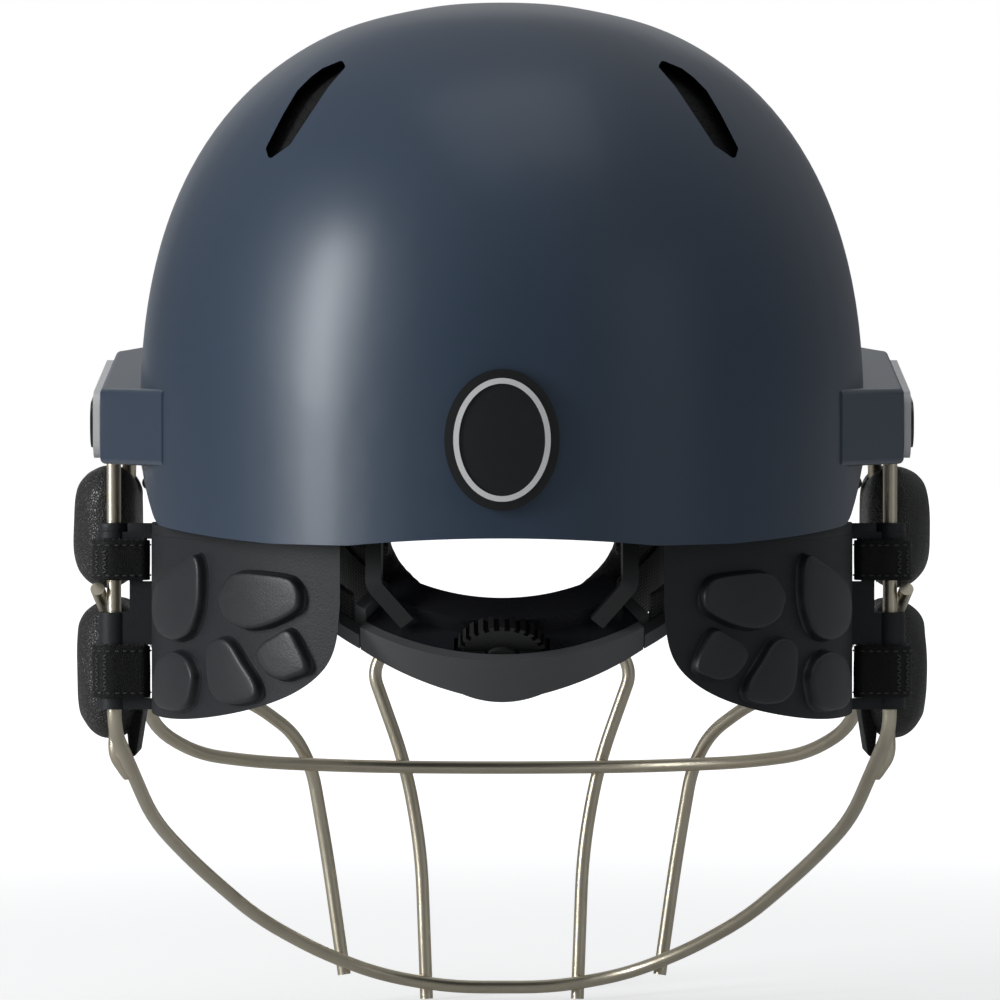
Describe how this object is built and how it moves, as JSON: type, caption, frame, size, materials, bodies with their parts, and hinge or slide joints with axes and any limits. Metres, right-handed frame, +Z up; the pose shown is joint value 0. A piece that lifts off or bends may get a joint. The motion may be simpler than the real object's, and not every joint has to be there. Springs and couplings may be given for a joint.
{
  "type": "cricket helmet",
  "caption": "Cricket helmet with a wire face grille, swinging neck guards, leather ear pads and a dial-tightened nape cradle.",
  "frame": {"origin": "middle of the head opening, level with the rear rim", "axes": "+X to the wearer's right, +Y to the face, +Z up"},
  "size_m": [0.2546, 0.2929, 0.3127],
  "materials": {
    "shell_paint": "matte navy paint over a fibre-reinforced shell",
    "badge_black": "black moulded badge",
    "badge_white": "white raised line",
    "foam": "black moulded foam",
    "pad_fabric": "black knitted lining",
    "wire_metal": "satin warm grey metal",
    "plate_white": "white moulded plate",
    "cap_dark": "dark cap",
    "screw_steel": "plain steel",
    "clamp_plastic": "black moulded block",
    "guard_plastic": "charcoal matte moulding",
    "guard_cushion": "charcoal satin cushion",
    "strap_leather": "black leather with stitched edges",
    "pad_leather": "black grained leather over foam",
    "housing_plastic": "dark grey matte plastic",
    "cover_gloss": "glossy black plastic",
    "dial_plastic": "black ribbed plastic",
    "washer_rubber": "rubber"
  },
  "bodies": {
    "helmet": {"shell": "shell_paint", "rear_badge": "badge_black", "badge_border": "badge_white", "impact_liner": "foam", "crown_pad": "pad_fabric", "brow_pad": "pad_fabric", "rear_pad": "pad_fabric", "left_temple_pad": "pad_fabric", "right_temple_pad": "pad_fabric", "chin_wire": "wire_metal", "mid_wire": "wire_metal", "brow_wire": "wire_metal", "inner_wire": "wire_metal", "left_cheek_wire": "wire_metal", "right_cheek_wire": "wire_metal", "left_side_plate": "plate_white", "right_side_plate": "plate_white", "left_plate_cap": "cap_dark", "right_plate_cap": "cap_dark", "plate_screws": "screw_steel", "left_clamp_block": "clamp_plastic", "right_clamp_block": "clamp_plastic", "left_upper_ear_pad": "pad_leather", "right_upper_ear_pad": "pad_leather", "left_lower_ear_pad": "pad_leather", "right_lower_ear_pad": "pad_leather", "cradle_housing": "housing_plastic", "cradle_cover": "cover_gloss", "dial_axle": "screw_steel", "dial_washer": "washer_rubber", "neck_pad": "pad_fabric", "left_cradle_strut": "cover_gloss", "right_cradle_strut": "cover_gloss"},
    "left_guard": {"left_neck_guard": "guard_plastic", "left_guard_cushions": "guard_cushion", "left_upper_strap": "strap_leather", "left_lower_strap": "strap_leather"},
    "right_guard": {"right_neck_guard": "guard_plastic", "right_guard_cushions": "guard_cushion", "right_upper_strap": "strap_leather", "right_lower_strap": "strap_leather"},
    "dial": {"dial": "dial_plastic", "dial_pinion": "dial_plastic"},
    "left_arm": {"left_band": "housing_plastic"},
    "right_arm": {"right_band": "housing_plastic"}
  },
  "joints": [
    {"name": "left_guard_swing", "type": "hinge", "parent": "helmet", "child": "left_guard", "pos_m": [-0.1142, 0, -0.028], "axis": [0, 0, 1], "range_deg": [-35, 0]},
    {"name": "right_guard_swing", "type": "hinge", "parent": "helmet", "child": "right_guard", "pos_m": [0.1142, 0, -0.028], "axis": [0, 0, 1], "range_deg": [0, 35]},
    {"name": "dial_turn", "type": "hinge", "parent": "helmet", "child": "dial", "pos_m": [0, -0.104, -0.0348], "axis": [0, -0.6947, -0.7193], "range_deg": [0, 150]},
    {"name": "left_arm_slide", "type": "hinge", "parent": "helmet", "child": "left_arm", "pos_m": [0, -0.05676, 0.01412], "axis": [0, -0.7193, 0.6947], "range_deg": [-12.5, 0]},
    {"name": "right_arm_slide", "type": "hinge", "parent": "helmet", "child": "right_arm", "pos_m": [0, -0.05676, 0.01412], "axis": [0, -0.7193, 0.6947], "range_deg": [0, 12.5]}
  ],
  "couplings": [
    {"joint": "left_arm_slide", "follows": "dial_turn", "ratio": -0.081893},
    {"joint": "right_arm_slide", "follows": "dial_turn", "ratio": 0.081893}
  ]
}
